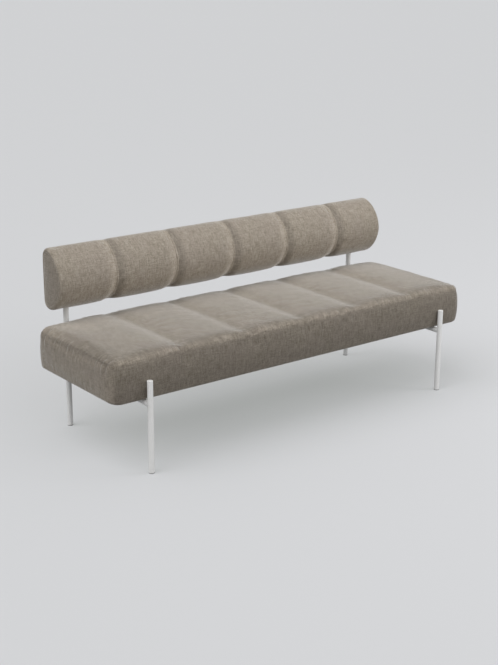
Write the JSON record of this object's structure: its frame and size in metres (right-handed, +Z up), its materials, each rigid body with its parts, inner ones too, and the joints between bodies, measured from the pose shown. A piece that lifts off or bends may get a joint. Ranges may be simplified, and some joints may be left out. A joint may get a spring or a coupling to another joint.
{
  "type": "dining sofa",
  "caption": "Armless dining sofa with a channelled upholstered seat and a half-round bolster back, on slim round steel tube legs and rear posts.",
  "frame": {"origin": "on the floor, midway between the four tubes that stand on it", "axes": "+X along the sofa to the viewer's right, +Y from front to back, +Z up"},
  "size_m": [2, 0.7091, 0.8366],
  "materials": {
    "white_tube": "white powder coat, satin",
    "white_cap": "white moulded cap",
    "glide": "grey moulded glide",
    "weave": "taupe melange plain weave",
    "foam": "polyurethane foam",
    "lining": "black spun dust cloth",
    "timber": "planed softwood",
    "plywood": "plywood, sanded",
    "zinc": "zinc-plated steel"
  },
  "bodies": {
    "root": {"base_back_rail": "timber", "base_cross_rail_left": "timber", "base_cross_rail_right": "timber", "base_end_rail_left": "timber", "base_end_rail_right": "timber", "base_front_rail": "timber", "base_inner_rail_left": "timber", "base_inner_rail_right": "timber", "bolster_board": "plywood", "bolster_bolts": "zinc", "bolster_cover": "weave", "bolster_foam": "foam", "bolster_inserts": "zinc", "bolster_washers": "zinc", "corner_block_back_left": "timber", "corner_block_back_right": "timber", "corner_block_front_left": "timber", "corner_block_front_right": "timber", "front_glide_left": "glide", "front_glide_right": "glide", "front_leg_cap_left": "white_cap", "front_leg_cap_right": "white_cap", "front_leg_left": "white_tube", "front_leg_right": "white_tube", "post_block_left": "timber", "post_block_right": "timber", "rear_glide_left": "glide", "rear_glide_right": "glide", "rear_post_cap_left": "white_cap", "rear_post_cap_right": "white_cap", "rear_post_left": "white_tube", "rear_post_right": "white_tube", "seat_bolts": "zinc", "seat_cover": "weave", "seat_deck": "plywood", "seat_foam": "foam", "seat_inserts": "zinc", "seat_lining": "lining", "seat_washers": "zinc", "side_rail_left": "white_tube", "side_rail_right": "white_tube"}
  },
  "joints": []
}
